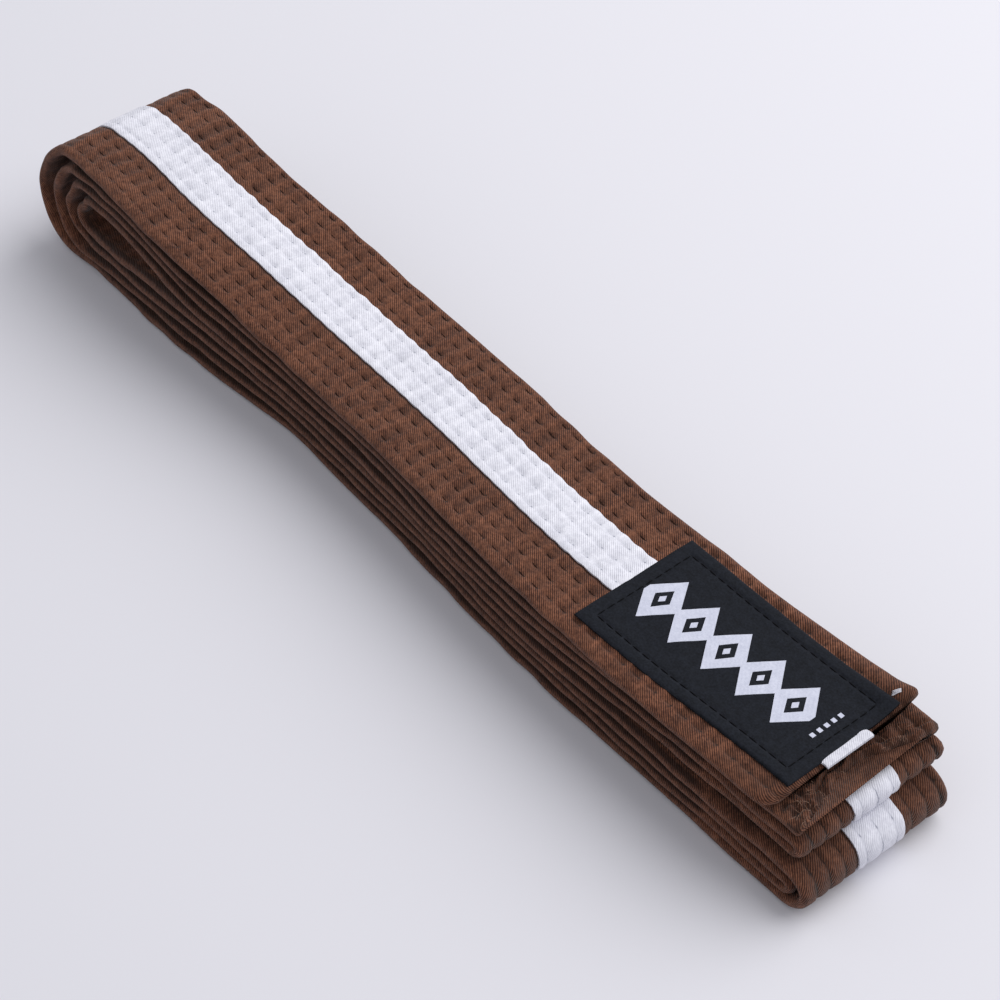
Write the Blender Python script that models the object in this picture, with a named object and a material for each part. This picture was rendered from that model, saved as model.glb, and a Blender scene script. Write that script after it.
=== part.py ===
"""Martial arts belt, folded flat into eight runs and lying on a table.

Metres, +Z up. The belt's length runs along X, with both tips at +X. Its width is along Y.
The origin is at the middle of the bottom of the folded belt.

The belt is one long quilted strap: a woven cover sewn as a flat sleeve round a batting core, with a
contrast stripe tape sewn along its front face. Folded in half twice and once more, it makes eight
runs, numbered 1 (top, with the label) to 8 (bottom). Four nested turns close it at the far end
and three at the near end:

    label tip - run 1 - far turn 1 - run 8 - near outer turn - run 5 - far turn 4 - run 4
    - near upper turn - run 3 - far turn 3 - run 6 - near inner turn - run 7 - far turn 2
    - run 2 - plain tip

Every solid is a ribbon: a band between two offsets of the strap's centre line, seen from the side,
extruded across the belt.
"""

from math import copysign, cos, hypot, pi, sin

import bmesh
import bpy

# ---- driving dimensions, in metres ----
BELT_WIDTH = 0.045
STRAP_THICKNESS = 0.0031
RUN_PITCH = 0.00345            # height from one run to the next where the stack lies flat
GAP = 0.0003                   # clearance between neighbouring solids
RUN_COUNT = 8

# ---- where the stack opens towards the far end ----
RISE_START_X = -0.020          # the upper runs begin to climb here
RISE_END_X = -0.1287           # and are level again here, at the innermost far turn
SPLIT_START_X = -0.077         # the stack parts in the middle, between runs 4 and 5, from here on
FAR_HEIGHTS = {1: 0.0375, 2: 0.0339, 3: 0.0303, 4: 0.0267, 5: 0.0140, 6: 0.0097, 7: 0.0056}
UPPER_RUN_COUNT = 4            # runs 1 to 4 lie above the split
RISE_STEPS = 9

# ---- turns: x where the runs meet the turn, and how far it bulges beyond that ----
FAR_TURNS = {1: (-0.1412, 0.0142), 2: (-0.1367, 0.0119), 3: (-0.1333, 0.0089), 4: (-0.1287, 0.0079)}
NEAR_OUTER = (0.1484, 0.0070)
NEAR_INNER = (0.1472, 0.0017)
NEAR_UPPER = (0.1505, 0.0017)
SHOULDER_EXPONENT = 1.5        # a far turn's upper half: under 2, so it slopes more than an ellipse
HEEL_EXPONENT = 2.3            # its lower half: over 2, so it is squarer than an ellipse
TURN_STEPS = 12
SMALL_TURN_STEPS = 8

# ---- tips ----
LABEL_TIP_X = 0.1423
PLAIN_TIP_X = 0.1502
TIP_HEM_LENGTH = 0.0060        # the turned-in, stitched-down end of the strap
LABEL_TIP_RADIUS = 0.0045
PLAIN_TIP_RADIUS = 0.0012
CORNER_STEPS = 5

# ---- inside the strap ----
COVER_WALL = 0.0004
STRIPE_WIDTH = 0.0145
STRIPE_Y = 0.0011
STRIPE_THICKNESS = 0.00025
STRIPE_RECESS = 0.00005        # the tape's face lies this far under the cover's face
STRIPE_TAB = 0.0010            # the tape sticks out past the label tip
CHANNEL_DEPTH = 0.0006
CHANNEL_OVERRUN = 0.0001       # the channel's cutter stands this far proud of the face it opens
BORE_OVERRUN = 0.0012          # a cutter runs this far past the end that it opens
HEM_OVERRUN = 0.0024           # the same, at a tip's hem

# ---- sewing thread: nine quilting rows along the strap ----
ROW_OFFSETS = (                # across the belt, from the stripe's middle
    -0.0201, -0.0159, -0.0112, -0.00475, 0.0, 0.00475, 0.0100, 0.0150, 0.0192,
)
THREAD_WIDTH = 0.0006
THREAD_THICKNESS = 0.0002
ROW_START_MARGIN = 0.0030      # from the far hinge line
ROW_END_MARGIN = 0.0010        # from the label's edge

# ---- woven label on the front of the label tip ----
LABEL_LENGTH = 0.0675
LABEL_WIDTH = 0.0375
LABEL_THICKNESS = 0.00045
LABEL_Y = 0.0006
LABEL_END_SETBACK = 0.0020     # label edge to the tip
LABEL_STITCH_INSET = 0.0034
MOTIF_DIAMONDS = 5
MOTIF_LENGTH = 0.0530
MOTIF_HEIGHT = 0.0170
MOTIF_SETBACK = 0.0027         # from the label's middle, towards its far edge
MOTIF_NECK = 0.0020            # width of the weave that links two diamonds
MOTIF_HOLE_SCALE = 0.42

HALF = STRAP_THICKNESS / 2
CAVITY_HALF = HALF - CHANNEL_DEPTH - COVER_WALL + STRIPE_RECESS
CORE_HALF = CAVITY_HALF - GAP
JOINT_TRIM = GAP / 2           # each piece stops this far short of a junction
MERGE_DISTANCE = 0.00001
SHARP_ANGLE = pi / 5           # faces that meet at more than this are shaded with a sharp edge
STAND_UP = (pi / 2, 0, 0)      # turns a drawing of the belt's side, made in X and Y, up into X and Z
PIECE_COLLECTION = "martial_arts_belt"
CUTTER_COLLECTION = "cutters"

# colour (linear), roughness, metallic
FINISHES = {
    "cover_brown": ((0.135, 0.061, 0.042), 0.85, 0.0),
    "stripe_white": ((0.74, 0.74, 0.82), 0.80, 0.0),
    "core_batting": ((0.70, 0.67, 0.60), 0.95, 0.0),
    "label_black": ((0.010, 0.010, 0.014), 0.70, 0.0),
    "motif_white": ((0.66, 0.67, 0.80), 0.60, 0.0),
    "thread_brown": ((0.090, 0.040, 0.028), 0.75, 0.0),
    "thread_white": ((0.70, 0.70, 0.78), 0.75, 0.0),
    "thread_black": ((0.008, 0.008, 0.010), 0.60, 0.0),
}


# ---- scene, collections and materials ----
def clear_scene():
    for scene_object in list(bpy.data.objects):
        bpy.data.objects.remove(scene_object, do_unlink=True)


def make_collection(name):
    collection = bpy.data.collections.new(name)
    bpy.context.scene.collection.children.link(collection)
    return collection


def make_material(name):
    colour, roughness, metallic = FINISHES[name]
    material = bpy.data.materials.new(name)
    material.use_nodes = True
    shader = material.node_tree.nodes["Principled BSDF"]
    shader.inputs["Base Color"].default_value = (*colour, 1.0)
    shader.inputs["Roughness"].default_value = roughness
    shader.inputs["Metallic"].default_value = metallic
    material.diffuse_color = (*colour, 1.0)
    return material


clear_scene()
pieces = make_collection(PIECE_COLLECTION)
cutters = make_collection(CUTTER_COLLECTION)
materials = {name: make_material(name) for name in FINISHES}


# ---- the strap's centre line, seen from the side as (x, z) points ----
def smooth_step(u):
    u = min(max(u, 0.0), 1.0)
    return u * u * (3 - 2 * u)


def level_height(run):
    return HALF + (RUN_COUNT - run) * RUN_PITCH


def run_height(run, x):
    """Height of a run's centre line: level, then climbing towards the far end.

    The runs first loosen evenly. The room between them then gathers into the split in the middle.
    """
    level = level_height(run)
    climb = FAR_HEIGHTS.get(run, level) - level
    risen = smooth_step((RISE_START_X - x) / (RISE_START_X - RISE_END_X))
    parted = smooth_step((SPLIT_START_X - x) / (SPLIT_START_X - RISE_END_X))
    split = FAR_HEIGHTS[UPPER_RUN_COUNT] - FAR_HEIGHTS[UPPER_RUN_COUNT + 1] - RUN_PITCH
    loose = split * (risen - parted) / (RUN_COUNT - 2)
    shares = 1 - run if run <= UPPER_RUN_COUNT else RUN_COUNT - run
    return level + climb * risen + loose * shares


def run_line(run, start_x, end_x):
    """Points along a run, in either direction, with more of them where it climbs."""
    low, high = sorted((start_x, end_x))
    climb = [
        RISE_END_X + (RISE_START_X - RISE_END_X) * step / RISE_STEPS
        for step in range(RISE_STEPS + 1)
    ]
    xs = [low] + [x for x in climb if low + GAP < x < high - GAP] + [high]
    if run == RUN_COUNT:
        xs = [low, high]
    if start_x > end_x:
        xs.reverse()
    return [(x, run_height(run, x)) for x in xs]


def turn_line(turn, upper_run, lower_run, side, down=True, steps=TURN_STEPS):
    """Half an ellipse that joins two runs, from the upper one down or from the lower one up.

    side is -1 for a far turn and +1 for a near turn. A far turn slopes above and is squarer below.
    """
    joint_x, bulge = turn
    top = run_height(upper_run, joint_x)
    bottom = run_height(lower_run, joint_x)
    middle, rise = (top + bottom) / 2, (top - bottom) / 2
    points = []
    for step in range(steps + 1):
        angle = pi / 2 - pi * step / steps
        out, up = max(cos(angle), 0.0), sin(angle)
        if side < 0:
            power = 2 / (SHOULDER_EXPONENT if up > 0 else HEEL_EXPONENT)
            out, up = out ** power, copysign(abs(up) ** power, up)
        points.append((joint_x + side * bulge * out, middle + rise * up))
    return points if down else points[::-1]


def join_lines(*lines):
    """One line from several that meet end to end."""
    joined = list(lines[0])
    for line in lines[1:]:
        joined += line[1:]
    return joined


def end_direction(line, index, neighbour):
    """+1 or -1: the way a line's end points along X. Every line is level where it ends."""
    return 1.0 if line[index][0] > line[neighbour][0] else -1.0


def trim_or_extend(line, start, end):
    """Move a line's two ends along X: a positive amount lengthens it, a negative one shortens it."""
    points = list(line)
    for index, neighbour, amount in ((0, 1, start), (-1, -2, end)):
        x, z = line[index]
        moved = (x + end_direction(line, index, neighbour) * amount, z)
        if amount <= 0:
            points[index] = moved
        elif index == 0:
            points.insert(0, moved)
        else:
            points.append(moved)
    return points


def offset_line(line, distance):
    """The line moved towards the strap's front face, which is on the right of its direction."""
    moved = []
    last = len(line) - 1
    for index, (x, z) in enumerate(line):
        if index == 0:
            along, up = -end_direction(line, 0, 1), 0.0
        elif index == last:
            along, up = end_direction(line, -1, -2), 0.0
        else:
            (ax, az), (bx, bz) = line[index - 1], line[index + 1]
            length = hypot(bx - ax, bz - az)
            along, up = (bx - ax) / length, (bz - az) / length
        moved.append((x + up * distance, z - along * distance))
    return moved


# ---- solids ----
def extruded(name, splines, width, location, rotation, collection):
    """A mesh object from a filled 2D curve: closed outlines, extruded by width."""
    curve = bpy.data.curves.new(name, "CURVE")
    curve.dimensions = "2D"
    curve.fill_mode = "BOTH"
    curve.extrude = width / 2
    for outline in splines:
        spline = curve.splines.new("POLY")
        spline.points.add(len(outline) - 1)
        for point, (u, v) in zip(spline.points, outline):
            point.co = (u, v, 0, 1)
        spline.use_cyclic_u = True
    drawing = bpy.data.objects.new(name + "_drawing", curve)
    drawing.location = location
    drawing.rotation_euler = rotation
    bpy.context.scene.collection.objects.link(drawing)
    bpy.context.view_layer.update()
    evaluated = drawing.evaluated_get(bpy.context.evaluated_depsgraph_get())
    mesh = bpy.data.meshes.new_from_object(evaluated)
    mesh.name = name
    solid = bmesh.new()
    solid.from_mesh(mesh)
    bmesh.ops.remove_doubles(solid, verts=solid.verts, dist=MERGE_DISTANCE)
    bmesh.ops.recalc_face_normals(solid, faces=solid.faces)
    solid.to_mesh(mesh)
    solid.free()
    piece = bpy.data.objects.new(name, mesh)
    piece.matrix_world = drawing.matrix_world.copy()
    collection.objects.link(piece)
    bpy.data.objects.remove(drawing, do_unlink=True)
    bpy.data.curves.remove(curve)
    return piece


def ribbon(name, line, back, front, width, y=0.0, collection=None):
    """The band between two offsets of a line, extruded across the belt about y."""
    outline = offset_line(line, front) + offset_line(line, back)[::-1]
    return extruded(name, [outline], width, (0, y, 0), STAND_UP, collection or pieces)


def plate(name, splines, low, high, collection=None):
    """A flat shape drawn in X and Y, between two heights."""
    location = (0, 0, (low + high) / 2)
    return extruded(name, splines, high - low, location, (0, 0, 0), collection or pieces)


def finish(piece, slot, hinge=None, round_piece=False):
    piece.data.materials.clear()
    piece.data.materials.append(materials[slot])
    if round_piece:
        piece.data.shade_smooth()
        piece.data.set_sharp_from_angle(angle=SHARP_ANGLE)
    if hinge is not None:
        piece.parent = hinge
        piece.matrix_parent_inverse = hinge.matrix_world.inverted()
    return piece


def cut(piece, cutter):
    """Take a cutter away from a piece, and hide the cutter."""
    cutter.hide_render = True
    cutter.display_type = "WIRE"
    boolean = piece.modifiers.new("cut_" + cutter.name, "BOOLEAN")
    boolean.operation = "DIFFERENCE"
    boolean.solver = "EXACT"
    boolean.object = cutter


def stripe_channel(name, line):
    """Cutter for the shallow channel that the stripe tape lies in, on the front face."""
    return ribbon(
        name + "_channel", line, HALF - CHANNEL_DEPTH, HALF + CHANNEL_OVERRUN,
        STRIPE_WIDTH + 2 * GAP, STRIPE_Y, cutters,
    )


def cover(name, line, hinge=None):
    """A stretch of the woven cover: a flat sleeve, open at both ends."""
    trimmed = trim_or_extend(line, -JOINT_TRIM, -JOINT_TRIM)
    sleeve = ribbon(name, trimmed, -HALF, HALF, BELT_WIDTH)
    through = trim_or_extend(line, BORE_OVERRUN, BORE_OVERRUN)
    bore_width = BELT_WIDTH - 2 * COVER_WALL
    cut(sleeve, ribbon(name + "_bore", through, -CAVITY_HALF, CAVITY_HALF, bore_width, 0, cutters))
    cut(sleeve, stripe_channel(name, through))
    return finish(sleeve, "cover_brown", hinge, round_piece=True)


def core(name, line, hinge=None):
    """The batting inside one stretch of the strap."""
    trimmed = trim_or_extend(line, -JOINT_TRIM, -JOINT_TRIM)
    width = BELT_WIDTH - 2 * COVER_WALL - 2 * GAP
    return finish(ribbon(name, trimmed, -CORE_HALF, CORE_HALF, width), "core_batting", hinge, True)


def stripe(name, line, hinge=None, start_trim=JOINT_TRIM):
    """The contrast tape on the front face of one stretch of the strap."""
    trimmed = trim_or_extend(line, -start_trim, -JOINT_TRIM)
    face = HALF - STRIPE_RECESS
    tape = ribbon(name, trimmed, face - STRIPE_THICKNESS, face, STRIPE_WIDTH, STRIPE_Y)
    return finish(tape, "stripe_white", hinge, round_piece=True)


def hinge_empty(name, x, run):
    """An empty on a far hinge line: the top of a run, where it meets its far turn."""
    empty = bpy.data.objects.new(name, None)
    empty.empty_display_size = BELT_WIDTH / 2
    empty.location = (x, 0, run_height(run, x) + HALF)
    pieces.objects.link(empty)
    bpy.context.view_layer.update()
    return empty


# ---- the strap's stretches ----
label_hinge = hinge_empty("label_end_hinge", FAR_TURNS[1][0], 1)
plain_hinge = hinge_empty("plain_end_hinge", FAR_TURNS[2][0], 2)
middle_hinge = hinge_empty("middle_fold_hinge", FAR_TURNS[3][0], 3)

# each run goes from where the strap enters it to where it leaves, counted from the label tip
run_1 = run_line(1, LABEL_TIP_X - TIP_HEM_LENGTH, FAR_TURNS[1][0])
far_turn_1 = turn_line(FAR_TURNS[1], 1, 8, -1)
run_8 = run_line(8, FAR_TURNS[1][0], NEAR_OUTER[0])
near_outer_turn = turn_line(NEAR_OUTER, 5, 8, 1, down=False)
run_5 = run_line(5, NEAR_OUTER[0], FAR_TURNS[4][0])
far_turn_4 = turn_line(FAR_TURNS[4], 4, 5, -1, down=False)
run_4 = run_line(4, FAR_TURNS[4][0], NEAR_UPPER[0])
near_upper_turn = turn_line(NEAR_UPPER, 3, 4, 1, down=False, steps=SMALL_TURN_STEPS)
run_3 = run_line(3, NEAR_UPPER[0], FAR_TURNS[3][0])
far_turn_3 = turn_line(FAR_TURNS[3], 3, 6, -1)
run_6 = run_line(6, FAR_TURNS[3][0], NEAR_INNER[0])
near_inner_turn = turn_line(NEAR_INNER, 6, 7, 1, steps=SMALL_TURN_STEPS)
run_7 = run_line(7, NEAR_INNER[0], FAR_TURNS[2][0])
far_turn_2 = turn_line(FAR_TURNS[2], 2, 7, -1, down=False)
run_2 = run_line(2, FAR_TURNS[2][0], PLAIN_TIP_X - TIP_HEM_LENGTH)

COVERS = (
    ("run_1_cover", run_1, label_hinge),
    ("run_2_cover", run_2, plain_hinge),
    ("run_3_cover", run_3, middle_hinge),
    ("run_4_cover", run_4, middle_hinge),
    ("near_upper_turn_cover", near_upper_turn, middle_hinge),
    ("run_5_cover", run_5, None),
    ("run_6_cover", run_6, None),
    ("run_7_cover", run_7, None),
    ("run_8_cover", run_8, None),
    ("near_outer_turn_cover", near_outer_turn, None),
    ("near_inner_turn_cover", near_inner_turn, None),
    ("far_turn_1_cover", far_turn_1, None),
    ("far_turn_2_cover", far_turn_2, None),
    ("far_turn_3_cover", far_turn_3, None),
    ("far_turn_4_cover", far_turn_4, None),
)
for cover_name, cover_line, cover_hinge in COVERS:
    cover(cover_name, cover_line, cover_hinge)

outer_stretch = join_lines(far_turn_1, run_8, near_outer_turn, run_5, far_turn_4)
middle_stretch = join_lines(run_4, near_upper_turn, run_3)
inner_stretch = join_lines(far_turn_3, run_6, near_inner_turn, run_7, far_turn_2)

core("label_end_core", run_1, label_hinge)
core("plain_end_core", run_2, plain_hinge)
core("middle_fold_core", middle_stretch, middle_hinge)
core("outer_stretch_core", outer_stretch)
core("inner_stretch_core", inner_stretch)

label_tape_line = trim_or_extend(run_1, TIP_HEM_LENGTH, 0)
plain_tape_line = trim_or_extend(run_2, 0, TIP_HEM_LENGTH)
stripe("label_end_stripe", label_tape_line, label_hinge, start_trim=-STRIPE_TAB)
stripe("plain_end_stripe", plain_tape_line, plain_hinge)
stripe("middle_fold_stripe", middle_stretch, middle_hinge)
stripe("outer_stretch_stripe", outer_stretch)
stripe("inner_stretch_stripe", inner_stretch)


# ---- the two tips ----
def rounded_end(start_x, end_x, radius):
    """Outline of a strap end in X and Y, with its two outer corners rounded."""
    half_width = BELT_WIDTH / 2
    points = [(start_x, half_width), (start_x, -half_width)]
    for sign in (-1, 1):
        for step in range(CORNER_STEPS + 1):
            turn = pi / 2 * (step / CORNER_STEPS)
            along, across = (sin(turn), cos(turn)) if sign < 0 else (cos(turn), sin(turn))
            points.append((
                end_x - radius + radius * along,
                sign * (half_width - radius + radius * across),
            ))
    return points


def tip_hem(name, run, tip_x, radius, tape_line, hinge):
    """The turned-in end of the strap, several plies stitched into a solid block."""
    start_x = tip_x - TIP_HEM_LENGTH + JOINT_TRIM
    centre = run_height(run, tip_x)
    outline = rounded_end(start_x, tip_x, radius)
    block = plate(name, [outline], centre - HALF, centre + HALF)
    channel_line = trim_or_extend(tape_line, HEM_OVERRUN, HEM_OVERRUN)
    cut(block, stripe_channel(name, channel_line))
    return finish(block, "cover_brown", hinge)


tip_hem("label_tip_hem", 1, LABEL_TIP_X, LABEL_TIP_RADIUS, label_tape_line, label_hinge)
tip_hem("plain_tip_hem", 2, PLAIN_TIP_X, PLAIN_TIP_RADIUS, plain_tape_line, plain_hinge)


# ---- the label ----
def rectangle(centre_x, centre_y, length, width):
    x, y = length / 2, width / 2
    corners = ((-x, -y), (x, -y), (x, y), (-x, y))
    return [(centre_x + dx, centre_y + dy) for dx, dy in corners]


def diamond_chain(centre_x, centre_y):
    """Outline of a row of linked diamonds, and the holes inside them."""
    pitch = MOTIF_LENGTH / MOTIF_DIAMONDS
    start = centre_x - MOTIF_LENGTH / 2
    lower, upper, holes = [], [], []
    for index in range(MOTIF_DIAMONDS):
        left = start + pitch * index
        centre = left + pitch / 2
        lower += [(left, centre_y - MOTIF_NECK / 2), (centre, centre_y - MOTIF_HEIGHT / 2)]
        upper += [(left, centre_y + MOTIF_NECK / 2), (centre, centre_y + MOTIF_HEIGHT / 2)]
        reach_x, reach_y = pitch / 2 * MOTIF_HOLE_SCALE, MOTIF_HEIGHT / 2 * MOTIF_HOLE_SCALE
        holes.append([
            (centre - reach_x, centre_y), (centre, centre_y - reach_y),
            (centre + reach_x, centre_y), (centre, centre_y + reach_y),
        ])
    end = start + MOTIF_LENGTH
    lower.append((end, centre_y - MOTIF_NECK / 2))
    upper.append((end, centre_y + MOTIF_NECK / 2))
    return [lower + upper[::-1]] + holes


strap_face = run_height(1, LABEL_TIP_X) + HALF
label_low = strap_face + GAP
label_high = label_low + LABEL_THICKNESS
trim_low = label_high + GAP
trim_high = trim_low + THREAD_THICKNESS
label_x = LABEL_TIP_X - LABEL_END_SETBACK - LABEL_LENGTH / 2

label_outline = rectangle(label_x, LABEL_Y, LABEL_LENGTH, LABEL_WIDTH)
finish(plate("label_patch", [label_outline], label_low, label_high), "label_black", label_hinge)

stitch_loop = [
    rectangle(label_x, LABEL_Y, LABEL_LENGTH - 2 * inset, LABEL_WIDTH - 2 * inset)
    for inset in (LABEL_STITCH_INSET, LABEL_STITCH_INSET + THREAD_WIDTH)
]
finish(plate("label_stitching", stitch_loop, trim_low, trim_high), "thread_black", label_hinge)

motif_outlines = diamond_chain(label_x - MOTIF_SETBACK, LABEL_Y)
motif = plate("label_motif", motif_outlines, trim_low, trim_high)
finish(motif, "motif_white", label_hinge)

# ---- quilting rows on the front of the label end ----
row_start_x = label_x - LABEL_LENGTH / 2 - ROW_END_MARGIN
row_line = run_line(1, row_start_x, FAR_TURNS[1][0] + ROW_START_MARGIN)
for number, row_offset in enumerate(ROW_OFFSETS, 1):
    on_stripe = abs(row_offset) < STRIPE_WIDTH / 2
    thread = ribbon(
        f"stitch_row_{number}", row_line, HALF + GAP, HALF + GAP + THREAD_THICKNESS,
        THREAD_WIDTH, STRIPE_Y + row_offset,
    )
    finish(thread, "thread_white" if on_stripe else "thread_brown", label_hinge)
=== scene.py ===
"""The looks of the folded martial arts belt: quilted brown strap, white stripe tape and woven label."""

from math import cos, pi, radians, sin

import bmesh
import bpy
import numpy as np
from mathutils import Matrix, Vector


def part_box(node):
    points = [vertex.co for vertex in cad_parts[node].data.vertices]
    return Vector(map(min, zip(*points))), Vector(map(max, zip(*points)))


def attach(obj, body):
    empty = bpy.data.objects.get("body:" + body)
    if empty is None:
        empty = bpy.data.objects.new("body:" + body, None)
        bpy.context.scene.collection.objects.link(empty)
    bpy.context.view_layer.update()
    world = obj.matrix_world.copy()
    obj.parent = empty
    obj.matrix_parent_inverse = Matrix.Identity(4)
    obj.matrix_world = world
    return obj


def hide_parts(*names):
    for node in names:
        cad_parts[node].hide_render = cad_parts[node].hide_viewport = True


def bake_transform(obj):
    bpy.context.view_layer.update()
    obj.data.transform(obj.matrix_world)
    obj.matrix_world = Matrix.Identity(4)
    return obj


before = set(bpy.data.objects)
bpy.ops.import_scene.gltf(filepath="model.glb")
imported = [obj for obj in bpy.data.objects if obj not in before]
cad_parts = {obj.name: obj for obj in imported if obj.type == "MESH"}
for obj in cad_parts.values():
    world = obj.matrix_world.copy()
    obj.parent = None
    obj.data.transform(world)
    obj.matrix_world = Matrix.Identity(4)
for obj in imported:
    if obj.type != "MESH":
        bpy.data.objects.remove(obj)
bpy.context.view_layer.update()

MM = 0.001
SEED = 20

# ---- the frame's own sizes ----
TRIM = 0.15 * MM  # CAD pieces stop this far short of each junction
run_8_low, run_8_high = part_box("run_8_cover")
HALF = (run_8_high.z - run_8_low.z) / 2
HALF_WIDTH = (run_8_high.y - run_8_low.y) / 2
RISE_START_X = -0.020
SPLIT_START_X = -0.077
label_low, label_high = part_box("label_patch")
motif_low, motif_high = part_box("label_motif")
stripe_low, stripe_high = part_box("label_end_stripe")
STRIPE_Y = (stripe_low.y + stripe_high.y) / 2
STRIPE_HALF = (stripe_high.y - stripe_low.y) / 2
LABEL_TIP_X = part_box("label_tip_hem")[1].x
PLAIN_TIP_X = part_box("plain_tip_hem")[1].x


def turn_frame(name, side):
    """A turn's junction, its reach beyond it, and the heights of the runs it joins. side is -1 for far."""
    low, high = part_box(name)
    joint_x, outer_x = (low.x - TRIM, high.x) if side > 0 else (high.x + TRIM, low.x)
    return joint_x, abs(outer_x - joint_x) - HALF, high.z - HALF, low.z + HALF


FAR = {turn: turn_frame(f"far_turn_{turn}_cover", -1) for turn in (1, 2, 3, 4)}
NEAR_OUTER = turn_frame("near_outer_turn_cover", 1)
NEAR_INNER = turn_frame("near_inner_turn_cover", 1)
NEAR_UPPER = turn_frame("near_upper_turn_cover", 1)
RISE_END_X = FAR[4][0]
SHOULDER_EXPONENT = 1.5
HEEL_EXPONENT = 2.3
UPPER_RUN_COUNT = 4
RUN_COUNT = 8

# height of each run's centre line at the near end and at the far end
label_tip_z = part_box("label_tip_hem")[1].z - HALF
plain_tip_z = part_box("plain_tip_hem")[1].z - HALF
NEAR_Z = {1: label_tip_z, 2: plain_tip_z, 3: NEAR_UPPER[2], 4: NEAR_UPPER[3],
          5: NEAR_OUTER[2], 6: NEAR_INNER[2], 7: NEAR_INNER[3], 8: NEAR_OUTER[3]}
FAR_Z = {1: FAR[1][2], 2: FAR[2][2], 3: FAR[3][2], 4: FAR[4][2],
         5: FAR[4][3], 6: FAR[3][3], 7: FAR[2][3], 8: FAR[1][3]}

# ---- the strap's make ----
COVER_HALF = 1.62 * MM  # half the cover's thickness on top of its pillows
PUFF = {4: 0.36, 5: 0.46, 6: 0.20, 7: 0.08, 8: 0.24}  # mm added to that at the far end, by run
KINKS = {2: 0.55 * MM, 3: 0.80 * MM, 4: 0.95 * MM}  # how far the inner far loops are bent out of round
STATION = 1.2 * MM  # mesh spacing along the strap
FINE_STATION = 0.62 * MM  # the same on the label end, which shows most
SLOPE_REACH = 0.6 * MM  # the strap's slope is read this far to both sides
TIP_CUTS = (0.15 * MM, 0.45 * MM)  # extra cuts this far from a tip, for its rounded edge
SPREAD = -0.10 * MM  # added to each half of the width; below 0 it takes away
NEAR_SPREAD = 0.95 * MM  # and this much more towards the near folds
EDGE_REACH = 3.0 * MM  # the long edges taper and ripple over this width
EDGE_TAPER = 0.17  # share of its thickness that the strap loses at its long edges
EDGE_RIPPLE = 0.30 * MM
LABEL_TIP_RADIUS = {-1: 4.5 * MM, 1: 2.2 * MM}
PLAIN_TIP_RADIUS = {-1: 1.5 * MM, 1: 2.0 * MM}

# ---- the quilting ----
ROW_OFFSETS = np.array([-20.1, -15.9, -11.2, -4.75, 0.0, 4.75, 10.0, 15.0, 19.2]) * MM
ROW_MARGIN = 2.0 * MM  # the puckers fade out this far past the outer rows
ROW_FADE = 2.5 * MM
ROW_WANDER = 0.25 * MM  # how far a row strays from its line
PAST_ROWS = 32 * MM  # here the count of rows is half a row past the outer ones
BACK_SHIFT = 1.1  # the back face is quilted like the strap this many metres on
STITCH_PITCH = 5.2 * MM
GROOVE_DEPTH = 0.34 * MM  # the line of each quilting row
GROOVE_WIDTH = 0.65 * MM
HOLE_DEPTH = 0.14 * MM  # the dimple that each stitch pulls
HOLE_WIDTH = 0.50 * MM
HOLE_LENGTH = 1.80 * MM
CREASE_DEPTH = 0.34 * MM  # the puckers that run across from hole to hole
FOLD_START_X, FOLD_FADE = 120, 16  # mm; from here on the strap is bent round the near folds
FOLD_GROOVE_DEPTH = 0.26 * MM  # the rows cut in deeper there
FOLD_GROOVE_WIDTH = 0.40 * MM
FOLD_PUCKER_DEPTH = 0.16 * MM  # with short puckers along them
FOLD_PUCKER_WIDTH = 1.5 * MM
FOLD_PUCKER_PITCH = 2.6 * MM
LINE_WIDTH = 0.30 * MM  # the painted shade line along a row
BETWEEN_SHADE = 1.25  # how dark the painted shade is between the runs
STITCH_SHARE = 0.22  # half a stitch's thread, as a share of the stitch
THREAD_TAPER = 0.55  # a thread's ends have this share of its radius
SHARP_ANGLE = radians(60)

# ---- the stripe tape ----
TAPE_HEIGHT = 0.30 * MM  # how far it stands above the cover
TAPE_DEPTH = 0.50 * MM  # its underside lies this far down in the cover
TAPE_TAB = 0.9 * MM  # how far it sticks out past the label tip
TAB_SHIFT = 0.8 * MM  # the tab sits this far to one side
TAB_LIFT = 0.35 * MM  # and stands this much higher
SCALLOP = 0.20 * MM  # its edge is drawn in at each stitch
TAPE_WANDER = 0.22 * MM  # and it strays by this much
TAPE_DIP = 0.42 * MM  # the cover dips beside the tape's straight edge

# ---- the plain tip, and the label's far corner ----
PLAIN_TIP_SKEW_REACH = 14  # mm; the plain tip's cloth is pulled askew over this length
PLAIN_TIP_DRAWN_IN = 6.6 * MM  # it is drawn in this far in its middle
PLAIN_TIP_DRAWN_WIDTH = 15 * MM
PLAIN_TIP_CREASED = 12 * MM  # the length that is meshed finely for its creases
PLAIN_TIP_CUTS = 32
CREASE_ROUGHNESS = 0.50 * MM
CURL_HEIGHT = 2.0 * MM  # the label tip's far side lifts this much
CORNER_HEIGHT = 1.2 * MM  # and its corner this much more
FRAY_COUNT = 46
FRAY_RADIUS = 0.055 * MM

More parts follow.
